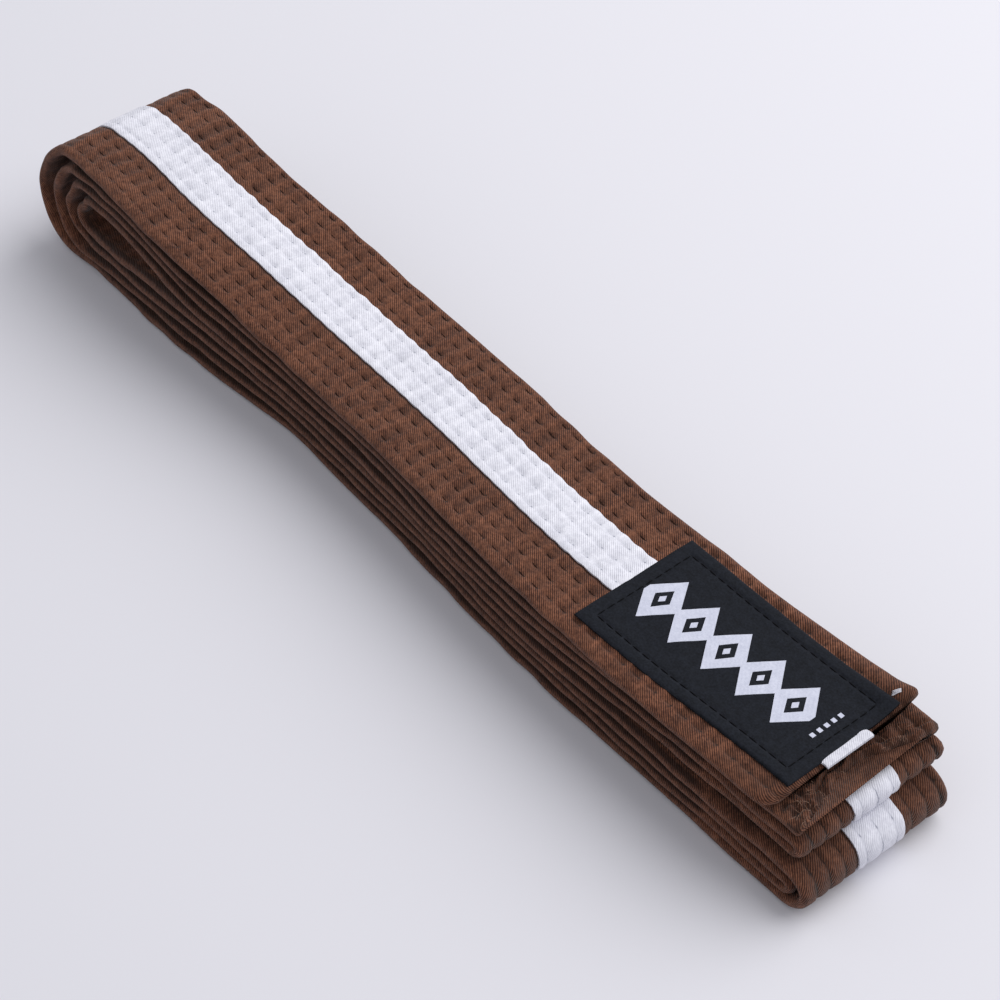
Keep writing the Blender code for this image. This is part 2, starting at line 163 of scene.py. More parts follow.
# ---- the label ----
LABEL_FAR_S = LABEL_TIP_X - label_low.x
LABEL_NEAR_S = LABEL_TIP_X - label_high.x
LABEL_HALF = (label_high.y - label_low.y) / 2
LABEL_Y = (label_high.y + label_low.y) / 2
LABEL_THICK = 0.45 * MM
LABEL_LIFT = 0.42 * MM  # its face lies this far above the cover
LABEL_DRAWN_IN = 2.4 * MM  # at its near corner by the tip
LABEL_PUSHED = 0.9 * MM  # its end by the tip lies this much nearer the tip
LABEL_STITCH_PITCH = 3.0 * MM
HEM = 3.2 * MM
SEAM = HEM + 0.5 * MM  # the stitches run this far inside the label's edge
MOTIF_THICK = 0.14 * MM
MOTIF_LIFT = 0.07 * MM  # half its thickness, so that it lies on the label
MOTIF_CUTS = 1.0 * MM  # it is cut this finely, to follow the label's face

# ---- how the bundle lies: in a slight bow, with its near ends not quite in line ----
BENDS = ((4.9 * MM, -33 * MM, 95 * MM), (2.5 * MM, -128 * MM, 52 * MM))  # height, middle and reach of each
NEAR_SHIFTS = {"middle": 2.2 * MM, "plain_end": 2.6 * MM, "inner": 0.0}  # how far these lie to the side
NEAR_SETBACKS = {"middle": 1.8 * MM, "inner": -2.2 * MM}  # how far short these end; below 0 they reach on
NEAR_START_X, NEAR_FADE = 45, 95  # mm; these shifts grow from the start on
TIP_REACH = 20 * MM  # the plain tip may run this far past its line's end
TIP_GAIN = 2.0 * MM  # the label end is this much wider at its tip, on the far side
BUNDLE_WANDER = 0.55 * MM
FLOOR_SOFTNESS = 0.5 * MM  # the bottom run is pressed flat against the floor over this height


# ---- shapes of curves ----
def smooth_step(u):
    u = np.clip(u, 0.0, 1.0)
    return u * u * (3 - 2 * u)


def rising(x, start, reach):
    """From 0 at the start to 1 at start + reach, both in mm."""
    return smooth_step((x - start * MM) / (reach * MM))


def fading(x, reach):
    """From 1 at x = 0 to 0 at the reach, in mm."""
    return smooth_step(1 - x / (reach * MM))


def hill(x, middle, width):
    """A smooth hill of height 1 round the middle."""
    return np.exp(-(((x - middle) / width) ** 2))


def waves(turns):
    """1 at each whole number of turns, and 0 halfway between."""
    return 0.5 + 0.5 * np.cos(2 * pi * turns)


# ---- smooth random fields, the same each run ----
def make_noise(seed, cell_s, cell_v, length=2.8, width=0.07):
    """A smooth random field over the strap, from -1 to 1, as a function of s and v."""
    random = np.random.default_rng(SEED + seed)
    rows = int(length / cell_s) + 4
    columns = int(width / cell_v) + 4
    lattice = random.uniform(-1, 1, (rows, columns))

    def field(s, v):
        a = np.clip((s + 0.05) / cell_s, 0, rows - 2.001)
        b = np.clip((v + width / 2) / cell_v, 0, columns - 2.001)
        i, j = a.astype(int), b.astype(int)
        fa, fb = smooth_step(a - i), smooth_step(b - j)
        near, far = (lattice[k, j] * (1 - fb) + lattice[k, j + 1] * fb for k in (i, i + 1))
        return near * (1 - fa) + far * fa

    return field


crumple = make_noise(1, 9 * MM, 6 * MM)
wrinkle = make_noise(2, 2.6 * MM, 1.9 * MM)
fine_wrinkle = make_noise(3, 1.5 * MM, 1.0 * MM)
edge_wander = make_noise(4, 30 * MM, 60 * MM)
edge_ripple = make_noise(5, 7 * MM, 20 * MM)
row_wander = make_noise(6, 40 * MM, 5 * MM)
stitch_jitter = make_noise(7, 11 * MM, 5 * MM)
crease_strength = make_noise(8, 5 * MM, 4.5 * MM)
end_crumple = make_noise(9, 3.5 * MM, 5 * MM)


# ---- the strap's centre line, seen from the side ----
def farther(x, start_x):
    """0 up to a start, and 1 at the far loops."""
    return smooth_step((start_x - x) / (start_x - RISE_END_X))


def run_height(run, x):
    """Height of a run's centre line: level, then looser, then parted in the middle of the stack."""
    risen, parted = farther(x, RISE_START_X), farther(x, SPLIT_START_X)
    split = FAR_Z[UPPER_RUN_COUNT] - FAR_Z[UPPER_RUN_COUNT + 1] - (NEAR_Z[7] - NEAR_Z[8])
    loose = split * (risen - parted) / (RUN_COUNT - 2)
    shares = 1 - run if run <= UPPER_RUN_COUNT else RUN_COUNT - run
    return NEAR_Z[run] + (FAR_Z[run] - NEAR_Z[run]) * risen + loose * shares


def run_line(run, start_x, end_x):
    """Points (x, z, puff) along a run. Puff is what its half thickness gains there."""
    x = np.linspace(start_x, end_x, 240)
    puff = PUFF.get(run, 0.0) * MM * farther(x, RISE_START_X)
    return np.stack([x, run_height(run, x), puff], axis=1)


def turn_line(turn, side, upper_run, lower_run, down=True, kink=0.0):
    """Half an ellipse from one run to the other. side is -1 for a far turn, +1 for a near one."""
    joint_x, bulge, top, bottom = turn
    angle = np.linspace(pi / 2, -pi / 2, 120)
    out, up = np.clip(np.cos(angle), 0, 1), np.sin(angle)
    if side < 0:
        power = 2 / np.where(up > 0, SHOULDER_EXPONENT, HEEL_EXPONENT)
        out, up = out**power, np.sign(up) * np.abs(up) ** power
    bent = hill(up, 0.80, 0.13) - 0.8 * hill(up, 0.42, 0.16)
    x = joint_x + side * (bulge * out + kink * bent)
    z = (top + bottom) / 2 + (top - bottom) / 2 * up
    ends = [PUFF.get(run, 0.0) * MM if side < 0 else 0.0 for run in (upper_run, lower_run)]
    line = np.stack([x, z, np.linspace(ends[0], ends[1], len(x))], axis=1)
    return line if down else line[::-1]


def join_lines(*lines):
    return np.concatenate([lines[0]] + [line[1:] for line in lines[1:]])


class Line:
    """A side-view line that can be read at any distance along it."""

    def __init__(self, points, start_s):
        self.points = points
        steps = np.hypot(*np.diff(points[:, :2], axis=0).T)
        self.s = start_s + np.concatenate([[0], np.cumsum(steps)])
        self.start, self.end = self.s[0], self.s[-1]

    def read(self, s, column):
        return np.interp(s, self.s, self.points[:, column])

    def at(self, s):
        """Points and front-facing normals. Past an end the line goes straight on."""
        inside = np.clip(s, self.start, self.end)
        ahead = np.clip(inside + SLOPE_REACH, None, self.end)
        behind = np.clip(inside - SLOPE_REACH, self.start, None)
        dx, dz = (self.read(ahead, column) - self.read(behind, column) for column in (0, 1))
        length = np.hypot(dx, dz)
        dx, dz = dx / length, dz / length
        beyond = s - inside
        return self.read(inside, 0) + dx * beyond, self.read(inside, 1) + dz * beyond, dz, -dx

    def puff(self, s):
        return self.read(s, 2)


STRETCHES = {
    "label_end": run_line(1, LABEL_TIP_X, FAR[1][0]),
    "outer": join_lines(
        turn_line(FAR[1], -1, 1, 8), run_line(8, FAR[1][0], NEAR_OUTER[0]),
        turn_line(NEAR_OUTER, 1, 5, 8, down=False), run_line(5, NEAR_OUTER[0], FAR[4][0]),
        turn_line(FAR[4], -1, 4, 5, down=False, kink=KINKS[4]),
    ),
    "middle": join_lines(
        run_line(4, FAR[4][0], NEAR_UPPER[0]), turn_line(NEAR_UPPER, 1, 3, 4, down=False),
        run_line(3, NEAR_UPPER[0], FAR[3][0]),
    ),
    "inner": join_lines(
        turn_line(FAR[3], -1, 3, 6, kink=KINKS[3]), run_line(6, FAR[3][0], NEAR_INNER[0]),
        turn_line(NEAR_INNER, 1, 6, 7), run_line(7, NEAR_INNER[0], FAR[2][0]),
        turn_line(FAR[2], -1, 2, 7, down=False, kink=KINKS[2]),
    ),
    "plain_end": run_line(2, FAR[2][0], PLAIN_TIP_X),
}
LINES, whole_length = {}, 0.0
for stretch, points in STRETCHES.items():
    LINES[stretch] = Line(points, whole_length)
    whole_length = LINES[stretch].end
WHOLE = Line(np.concatenate(list(STRETCHES.values())), 0.0)
STRAP_LENGTH = WHOLE.end


# ---- the strap's surface ----
def stitch_place(s, v):
    """Where points lie in the quilting: stitches counted along, and how far off the nearest row."""
    row = np.interp(v - STRIPE_Y, ROW_OFFSETS, np.arange(len(ROW_OFFSETS)))
    nearest = np.clip(np.round(row), 0, len(ROW_OFFSETS) - 1).astype(int)
    centre = STRIPE_Y + ROW_OFFSETS[nearest]
    centre = centre + ROW_WANDER * row_wander(s, centre)
    turns = s / STITCH_PITCH + 0.16 * stitch_jitter(s, v)
    return turns, v - centre


def folded(s):
    """0 on the level runs, 1 where the strap is bent round the near folds."""
    return rising(WHOLE.at(s)[0], FOLD_START_X, FOLD_FADE)


def quilting(s, v, beside_tape=False):
    """How far the quilted face lies under its highest level, at s along and v across the strap."""
    s, v = np.broadcast_arrays(s, v)
    turns, off_row = stitch_place(s, v)
    off_stripe = v - STRIPE_Y
    inside = smooth_step((ROW_OFFSETS[-1] + ROW_MARGIN - off_stripe) / ROW_FADE)
    inside = inside * smooth_step((off_stripe - ROW_OFFSETS[0] + ROW_MARGIN) / ROW_FADE)

    # puckers across the strap, grooves along the rows, and a dimple at each stitch
    strength = 0.72 + 0.5 * crease_strength(s, v)
    wave = waves(turns)
    depth = CREASE_DEPTH * strength * inside * (1 - (1 - wave) ** 1.6)
    depth = depth + GROOVE_DEPTH * hill(off_row, 0, GROOVE_WIDTH) * (0.35 + 0.65 * wave)
    to_hole = (turns - np.round(turns)) * STITCH_PITCH
    along = to_hole * 0.99 + off_row * 0.10
    across = off_row * 0.99 - to_hole * 0.10
    depth = depth + HOLE_DEPTH * hill(across, 0, HOLE_WIDTH) * hill(along, 0, HOLE_LENGTH)

    # on the near folds the cloth is stretched, and the rows cut in
    bend = folded(s)
    depth = depth * (1 - 0.50 * bend) + FOLD_GROOVE_DEPTH * bend * hill(off_row, 0, FOLD_GROOVE_WIDTH)
    pucker = 0.5 + 0.5 * np.sin(2 * pi * s / FOLD_PUCKER_PITCH + 4 * crumple(s, v))
    depth = depth + FOLD_PUCKER_DEPTH * bend * pucker * hill(off_row, 0, FOLD_PUCKER_WIDTH)
    if beside_tape:
        from_tape = STRIPE_Y - STRIPE_HALF - v
        depth = depth + TAPE_DIP * hill(from_tape, 0.25 * MM, 0.50 * MM) * (from_tape > -0.50 * MM)
    for field, height in ((crumple, 0.14 * MM), (wrinkle, 0.10 * MM), (fine_wrinkle, 0.05 * MM)):
        depth = depth + height * (0.5 + 0.5 * field(s, v))
    return depth


def spread(s):
    """The strap's width over the CAD's: it is pressed wider towards the near folds."""
    return 1 + (SPREAD + NEAR_SPREAD * rising(WHOLE.at(s)[0], 20, 70)) / HALF_WIDTH


def hollow_shade(s, v, beside_tape=False):
    """How dark the painted shade is in the quilting's hollows, along its rows and on the near folds: 0 to 1,
    and a little over in the painted shadow beside the tape.
    """
    s, v = np.broadcast_arrays(s, v)
    turns, off_row = stitch_place(s, v)
    wave = waves(turns)
    bend = folded(s)
    # painted shade: a dark line along each row, dark bands across the strap through the stitches, and an even
    # darkening on the near folds
    line = hill(off_row, 0, LINE_WIDTH) * (0.30 + 0.40 * wave + 0.45 * bend)
    dark = (1 - (1 - wave) ** 1.8) * (0.60 + 0.55 * crease_strength(s, v))
    shade = np.clip(0.75 * line + 0.55 * dark * (1 - 0.5 * bend) + 0.50 * bend, 0, 1)
    if beside_tape:
        # painted shadow line on the cover beside the tape's straight edge
        beside = 1.2 * hill(STRIPE_Y - STRIPE_HALF - v, 0.18 * MM, 0.60 * MM)
        shade = np.maximum(shade, beside * (np.abs(v - STRIPE_Y) < HALF_WIDTH / 2))
    return shade


def seams(s, v):
    """For the materials: rows counted across, stitches counted along, and how far the strap is folded, which
    sets the painted shade along the rows.
    """
    s, v = np.broadcast_arrays(s, v)
    row_wide = np.concatenate([[-PAST_ROWS], ROW_OFFSETS, [PAST_ROWS]])
    row_count = np.concatenate([[-0.5], np.arange(len(ROW_OFFSETS)), [len(ROW_OFFSETS) - 0.5]])
    turns, _ = stitch_place(s, v)
    x, _, facing, _ = WHOLE.at(s)
    fold = smooth_step((facing - 0.25) / 0.45) * rising(x, 130, 6)
    off_middle = np.abs(v - STRIPE_Y)
    outer_tape_rows = (off_middle > 2.4 * MM) & (off_middle < STRIPE_HALF)  # their painted shade along the rows shows less
    fold = fold * np.where(outer_tape_rows, 0.35, 1.0)
    return np.stack([np.interp(v - STRIPE_Y, row_wide, row_count), turns, fold], axis=-1)


def tip_half_width(from_tip, radius):
    """Half the strap's width this far from a tip, on the side of a corner with this radius."""
    from_tip = np.clip(from_tip, 0, radius)
    return HALF_WIDTH - radius + np.sqrt(np.clip(radius**2 - (radius - from_tip) ** 2, 0, None))


def place(s, v, out):
    """Positions of points at s along, v across and out above the centre line, on the front side."""
    x, z, nx, nz = WHOLE.at(s)
    px, pz = x + nx * out, z + nz * out
    pz = np.where(pz < FLOOR_SOFTNESS, FLOOR_SOFTNESS * np.exp(pz / FLOOR_SOFTNESS - 1), pz)
    near = rising(px, NEAR_START_X, NEAR_FADE)
    for stretch, shift in NEAR_SHIFTS.items():
        reach = TIP_REACH if stretch == "plain_end" else 0.0
        share = near * ((s > LINES[stretch].start) & (s < LINES[stretch].end + reach))
        v = v + shift * share
        px = px - NEAR_SETBACKS.get(stretch, 0.0) * share
    bow = sum(
        height * np.cos(pi / 2 * np.clip((px - middle_x) / reach, -1, 1)) ** 2
        for height, middle_x, reach in BENDS
    )
    wander = BUNDLE_WANDER * edge_wander(s, np.zeros_like(s))
    return np.stack([px, v + bow + wander, pz], axis=-1)


def cross_section(front_count, back_count, edge_steps=5):
    """The strap's cut: v, n, front weight and distance round it, for a strap of full width."""
    radius = COVER_HALF
    inner = HALF_WIDTH - radius
    angles = np.linspace(0, pi, edge_steps + 2)[1:-1]
    v = np.concatenate([
        np.linspace(inner, -inner, front_count), -inner - radius * np.sin(angles),
        np.linspace(-inner, inner, back_count), inner + radius * np.sin(angles),
    ])
    n = np.concatenate([
        np.full(front_count, radius), radius * np.cos(angles),
        np.full(back_count, -radius), -radius * np.cos(angles),
    ])
    wrapped = np.concatenate([
        np.linspace(inner, -inner, front_count), -inner - radius * angles,
        np.linspace(-inner, -3 * inner, back_count) - pi * radius,
        np.where(angles < pi / 2 - 0.01, -3 * inner - radius * (pi + angles), inner + radius * (pi - angles)),
    ])
    return v, n, n / radius, wrapped


# ---- meshes ----
def add_object(name, data):
    added = bpy.data.objects.new(name, data)
    bpy.context.scene.collection.objects.link(added)
    return added


def mesh_object(name, vertices, faces, normals=None):
    mesh = bpy.data.meshes.new(name)
    mesh.from_pydata(vertices.tolist(), [], faces)
    mesh.update()
    piece = add_object(name, mesh)
    mesh.shade_smooth()
    if normals is not None:
        mesh.normals_split_custom_set_from_vertices(normals.tolist())
    return piece


def store(piece, name, values):
    """A per-vertex attribute that the materials read."""
    vector = values.ndim == 2
    attribute = piece.data.attributes.new(name, "FLOAT_VECTOR" if vector else "FLOAT", "POINT")
    attribute.data.foreach_set("vector" if vector else "value", values.astype(np.float32).ravel())


def grid_normals(grid):
    """Vertex normals of a closed tube of stations, from its neighbours on all sides."""
    along = np.gradient(grid, axis=0)
    around = np.roll(grid, -1, axis=1) - np.roll(grid, 1, axis=1)
    normals = np.cross(along, around)
    return normals / np.maximum(np.linalg.norm(normals, axis=-1, keepdims=True), 1e-12)


def tube_faces(stations, ring):
    """Quads from station to station, and a cap at each end."""
    faces = []
    for a in range(0, (stations - 1) * ring, ring):
        for j in range(ring):
            following = (j + 1) % ring
            faces.append((a + j, a + ring + j, a + ring + following, a + following))
    last = (stations - 1) * ring
    return faces + [tuple(range(ring)), tuple(range(last, last + ring))[::-1]]


def skin(name, grid, strap, relief_and_painted_shade, quilt, rounded):
    """A closed skin over a grid of stations. The first and the last of them only serve the normals."""
    normals = grid_normals(grid)[1:-1]
    grid = grid[1:-1]
    faces = tube_faces(*grid.shape[:2])
    if np.sum((grid - grid.mean(axis=1, keepdims=True)) * normals) < 0:
        normals = -normals
        faces = [face[::-1] for face in faces]
    piece = mesh_object(name, grid.reshape(-1, 3), faces, normals.reshape(-1, 3) if rounded else None)
    if not rounded:
        piece.data.set_sharp_from_angle(angle=SHARP_ANGLE)
    store(piece, "strap", np.stack(strap, axis=-1)[1:-1].reshape(-1, 3))
    # painted shade that the materials mix into the cloth's colour
    store(piece, "relief_and_painted_shade", relief_and_painted_shade[1:-1].ravel())
    store(piece, "quilt", quilt[1:-1].reshape(-1, 3))
    return piece


def even_stations(line, station):
    return np.linspace(line.start, line.end, int(round((line.end - line.start) / station)) + 1)


def with_neighbours(stations, station):
    """A column of the stations, with one more past each end."""
    return np.concatenate([[stations[0] - station], stations, [stations[-1] + station]])[:, None]


# ---- the two tips ----
def plain_tip_skew(to_tip, v):
    """The plain tip was cut and turned in a little askew, and its edge is uneven."""
    drawn_in = PLAIN_TIP_DRAWN_IN * hill(v, 0, PLAIN_TIP_DRAWN_WIDTH)
    uneven = 0.6 * MM * end_crumple(v + 0.1, to_tip) - 0.3 * MM
    return fading(to_tip, PLAIN_TIP_SKEW_REACH) * (uneven + drawn_in)


def plain_tip_relief(to_tip, v):
    """The plain tip's turned-in hem: a ridge at the end, a sunk seam, and bunched cloth between."""
    seam_at = 3.4 * MM + 0.5 * MM * end_crumple(v + 0.3, to_tip)
    relief_and_painted_shade = 0.75 * MM * hill(to_tip, seam_at, 0.55 * MM) - 0.42 * MM * hill(to_tip, 1.3 * MM, 1.1 * MM)
    bunched = 0.6 + 0.6 * end_crumple(v + 0.2, to_tip)
    relief_and_painted_shade = relief_and_painted_shade - 0.55 * MM * hill(to_tip, 5.2 * MM, 1.3 * MM) * bunched
    relief_and_painted_shade = relief_and_painted_shade + 0.30 * MM * end_crumple(v * 1.6 + 0.4, to_tip) * fading(to_tip, 8)
    rough = plain_tip_creases(to_tip, v) * smooth_step(1.4 - to_tip / (10 * MM))
    return relief_and_painted_shade + CREASE_ROUGHNESS * rough


def plain_tip_creases(to_tip, v):
    """Creases of the bunched cloth at the plain tip, deepest at its near corner."""
    corner = 0.80 + 0.45 * smooth_step(1.15 - (v + HALF_WIDTH) / (26 * MM))
    return corner * (wrinkle(1.6 * v + 0.5, to_tip) + 0.7 * fine_wrinkle(1.3 * v + 0.9, to_tip))


def curl(s, v):
    """The label tip's far side and far corner lift a little."""
    side = fading(s, 22) * rising(v, 11, 13)
    corner = fading(s, 8) * rising(v, 18, 6)
    return CURL_HEIGHT * side + CORNER_HEIGHT * corner


# ---- the strap and its tape ----
def make_strap(stretch, station, front_count, back_count):
    """One stretch of the quilted strap, as a closed skin."""
    line = LINES[stretch]
    label_tip, plain_tip = stretch == "label_end", stretch == "plain_end"
    stations = even_stations(line, station)
    if label_tip:
        stations = np.concatenate([[0.0, *TIP_CUTS], stations[stations > TIP_CUTS[1] + 0.25 * MM]])
    if plain_tip:
        rest = stations[stations < line.end - PLAIN_TIP_CREASED]
        close = np.linspace(rest[-1], line.end - TIP_CUTS[1], PLAIN_TIP_CUTS)[1:]
        stations = np.concatenate([rest, close, [line.end - TIP_CUTS[0], line.end]])
    s = with_neighbours(stations, station)
    to_tip = line.end - s
    x = WHOLE.at(s)[0]
    v, n, weight, wrapped = (part[None, :] for part in cross_section(front_count, back_count))

    # rounded at a tip, wider towards the label tip, thinner and rippled along the edges
    width_share = np.ones((s.shape[0], v.shape[1]))
    thick_share = 1 + WHOLE.puff(s) / COVER_HALF
    if label_tip or plain_tip:
        radii, from_tip = (LABEL_TIP_RADIUS, s) if label_tip else (PLAIN_TIP_RADIUS, to_tip)
        for sign in (-1, 1):
            share = tip_half_width(from_tip, radii[sign]) / HALF_WIDTH
            width_share = np.where(np.sign(v) == sign, share, width_share)
        depth_in = COVER_HALF - np.clip(from_tip, 0, COVER_HALF)
        thick_share = np.sqrt(np.clip(1 - (depth_in / COVER_HALF) ** 2, 0, 1)) * 0.8 + 0.2
    across = v * width_share * spread(s)
    if label_tip:
        gain = TIP_GAIN * rising(x, 55, 87) ** 1.5
        across = across + gain * np.clip(v / HALF_WIDTH, 0, 1) ** 3 * width_share
    edge = np.clip((np.abs(v) - (HALF_WIDTH - EDGE_REACH)) / EDGE_REACH, 0, 1)
    loose = 1 + 1.6 * rising(-x, 115, 20)
    across = across + edge * np.sign(v) * EDGE_RIPPLE * loose * edge_ripple(s + 0 * v, v * 0.4)
    thin = EDGE_TAPER + 0.08 * loose * edge_ripple(s + 0.4, 0 * v)
    thick_share = thick_share * (1 - smooth_step(edge) * thin)
    if label_tip:
        raised = 0.50 * fading(s, 9)
        thick_share = thick_share * (1 - raised * np.clip(-weight + 0.3, 0, 1))

    # the quilting of both faces
    front = quilting(s, across, beside_tape=True)
    back = quilting(s + BACK_SHIFT, -across)
    if plain_tip:
        back = back + plain_tip_relief(to_tip, across)
    fade = np.clip(1.35 - edge * 1.1, 0, 1)
    out = n * thick_share - np.clip(weight, 0, 1) * front * fade + np.clip(-weight, 0, 1) * back * fade
    along = s + 0 * v
    if label_tip:
        out = out + curl(s, across)
    if plain_tip:
        along = along - plain_tip_skew(to_tip, across)

    # painted shade: how dark the cloth is, in its hollows, in the plain tip's creases and between the runs
    relief_and_painted_shade = np.where(weight > 0, hollow_shade(s, across, True), hollow_shade(s + BACK_SHIFT, -across)) * fade
    if plain_tip:
        # painted shade in the creases of the plain tip's bunched cloth, on its back face
        creased = 2.4 * plain_tip_creases(to_tip, across) * smooth_step(1.35 - to_tip / (9 * MM))
        relief_and_painted_shade = np.maximum(relief_and_painted_shade, np.clip(creased, 0, 1.1) * (weight < 0))
    # painted shade along the long edges between the runs; none where the strap shows at the turns, nor on the
    # label end's front
    shown = rising(x, 119, 5) + rising(-x, 135, 5)
    between = smooth_step((np.abs(weight) - 0.30) / 0.55) * smooth_step((edge - 0.20) / 0.30)
    between = between * np.clip(1 - shown, 0, 1) * (weight < 0.1 if label_tip else 1.0)
    relief_and_painted_shade = np.maximum(relief_and_painted_shade, BETWEEN_SHADE * between)
    quilt = seams(s, across)
    # the painted shade along folded rows is kept to the front face
    quilt[..., 2] *= weight > 0
    places = (along, wrapped + 0 * along, out)
    return skin(f"{stretch}_strap", place(along, across, out), places, relief_and_painted_shade, quilt, rounded=True)


def make_tape(stretch, station, columns):
    """The stripe tape on the front face of one stretch, as a thin closed band."""
    line = LINES[stretch]
    stations = even_stations(line, station)
    tabbed = stretch == "label_end"
    if tabbed:
        stations = np.concatenate([[-TAPE_TAB, -TAPE_TAB / 2], stations])
    s = with_neighbours(stations, station)
    share = np.linspace(1, -1, columns)[None, :]
    turns, _ = stitch_place(s, STRIPE_Y + 0 * s)
    free = rising(s, 2, 4) if tabbed else 1.0
    scallop = SCALLOP * waves(turns) * free
    wander = TAPE_WANDER * edge_ripple(s, 0 * s) * free
    half = STRIPE_HALF - np.where(share > 0, scallop + wander, 0.25 * wander) * np.abs(share) ** 3
    v = STRIPE_Y + share * half
    if tabbed:
        v = v + TAB_SHIFT * fading(s, 5)
    depth, pressed = quilting(s, v), 1.0
    if tabbed:
        depth = depth * rising(s, 1.5, 3)
        under_label = smooth_step((s - LABEL_NEAR_S) / MM) * smooth_step((LABEL_FAR_S - s) / MM)
        pressed = 1 - 0.8 * under_label
    lift = TAPE_HEIGHT * pressed * np.sqrt(np.clip(1.02 - share**8, 0, 1))
    level = COVER_HALF + WHOLE.puff(s) - 0.70 * depth
    if tabbed:
        level = level + curl(s, v) + TAB_LIFT * fading(s, 2.5)
        level = np.where(s < 0, level + 0.25 * MM * s / TAPE_TAB, level)
    ring_v = np.concatenate([v, v[:, ::-1]], axis=1)
    ring_out = np.concatenate([level + lift, (level - TAPE_DEPTH)[:, ::-1]], axis=1)
    ring_s = s + 0 * ring_v
    if stretch == "plain_end":
        drawn_in = plain_tip_skew(line.end - ring_s, ring_v)
        ring_s = ring_s - drawn_in - 1.5 * MM * (ring_s > line.end - 3 * MM)
    # painted shade in the tape's hollows
    shade = hollow_shade(s, v)
    relief_and_painted_shade = np.concatenate([shade, shade[:, ::-1]], axis=1)
    places = (ring_s, ring_v, ring_out)
    return skin(f"{stretch}_tape", place(*places), places, relief_and_painted_shade, seams(s, ring_v), rounded=False)


# ---- threads ----
def thread_mesh(name, paths, radius, sides=6):
    """Many short threads as one mesh: a closed tube round each path of points."""
    vertices, faces = [], []
    turns = [2 * pi * step / sides for step in range(sides)]
    for path in paths:
        tangent = np.gradient(path, axis=0)
        tangent /= np.linalg.norm(tangent, axis=1, keepdims=True)
        side = np.cross(tangent, (0.0, 0.0, 1.0))
        flat = np.linalg.norm(side, axis=1) < 0.2
        side[flat] = np.cross(tangent[flat], (0.0, 1.0, 0.0))
        side /= np.linalg.norm(side, axis=1, keepdims=True)
        up = np.cross(side, tangent)
        base = len(vertices)
        for index, point in enumerate(path):
            reach = radius * (THREAD_TAPER if index in (0, len(path) - 1) else 1.0)
            vertices += [point + reach * (cos(turn) * side[index] + sin(turn) * up[index]) for turn in turns]
        for first, *others in tube_faces(len(path), sides):
            faces.append(tuple(base + index for index in (first, *others[::-1])))
    return mesh_object(name, np.array(vertices), faces)


def stitch_paths(rows, lift):
    """The thread of some quilting rows: one short arc over the cloth between each pair of holes."""
    paths = []
    fine_s = np.linspace(LABEL_FAR_S + 0.5 * MM, LINES["label_end"].end - 0.5 * MM, 4000)
    part = np.linspace(-STITCH_SHARE, STITCH_SHARE, 9)
    arch = np.sin(np.linspace(0, pi, 9)) * 0.20 * MM - 0.15 * MM
    for row in rows:
        centre_v = STRIPE_Y + ROW_OFFSETS[row]
        turns, _ = stitch_place(fine_s, centre_v + 0 * fine_s)
        for hole in range(int(np.ceil(turns[0] + 0.3)), int(np.floor(turns[-1] - 0.3)) + 1):
            s = np.interp(hole + part, turns, fine_s)
            v = centre_v + ROW_WANDER * row_wander(s, centre_v + 0 * s) + 0.10 * STITCH_PITCH * part
            sunk = 0.12 * MM * crease_strength(s, v) - 0.02 * MM
            out = COVER_HALF + WHOLE.puff(s) - 0.85 * quilting(s, v) + lift + arch + sunk
            paths.append(place(s, v, out))
    return paths


def bar_tack():
    """The few short strands that show white beside the label's far corner."""
    paths = []
    for strand in range(4):
        v = np.linspace(19.8 * MM + 0.3 * MM * strand, 21.7 * MM + 0.2 * MM * strand, 8)
        s = 4.2 * MM + 0.21 * MM * strand - np.linspace(0, 1.2 * MM, 8)
        out = COVER_HALF - 0.85 * quilting(s, v) + curl(s, v) + 0.16 * MM
        paths.append(place(s, v, out))
    return paths


def fray_paths():
    """Loose fibres along the plain tip, where its cut edge was turned in roughly."""
    random = np.random.default_rng(SEED + 30)
    paths = []
    share = np.linspace(0, 1, 7)
    for _ in range(FRAY_COUNT):
        low, high = (-0.9, 0.9) if random.random() < 0.5 else (-0.95, -0.55)
        v0 = random.uniform(low, high) * HALF_WIDTH
        s0 = STRAP_LENGTH - plain_tip_skew(0.0, v0) - random.uniform(0.0, 5.0) * MM
        turn, length = random.uniform(-pi, pi), random.uniform(0.9, 2.9) * MM
        bend = random.uniform(-1.6, 1.6)
        angle = turn + bend * share
        s = s0 + length * np.cumsum(np.cos(angle)) / len(share)
        v = v0 + length * np.cumsum(np.sin(angle)) / len(share)
        s = np.minimum(s, STRAP_LENGTH + 1.5 * MM)
        rise = random.uniform(0.2, 0.9) * MM
        out = -COVER_HALF - 0.05 * MM - rise * np.sin(pi * np.clip(share * 0.9, 0, 1)) ** 0.7
        paths.append(place(s, v, out))
    return paths


# ---- the label ----
def label_level(s, v):
    """Height of the label's face above the centre line: nearly flat, with the quilting just felt."""
    inside = np.minimum.reduce([s - LABEL_NEAR_S, LABEL_FAR_S - s, LABEL_HALF - np.abs(v - LABEL_Y)])
    hem = 0.16 * MM * smooth_step((HEM + 0.4 * MM - inside) / (0.8 * MM))
    groove = 0.24 * MM * hill(inside, SEAM, 0.45 * MM)
    roll = 0.35 * MM * np.exp(-np.clip(inside, 0, None) / (0.35 * MM))
    soft = 0.14 * MM * crumple(s, v) + 0.05 * MM * wrinkle(s, v)
    pucker = 0.05 * MM * np.cos(2 * pi * (s + v) / (3 * MM)) * hill(inside, HEM, 1.6 * MM)
    return COVER_HALF + LABEL_LIFT + hem - groove - roll + soft + pucker + curl(s, v)


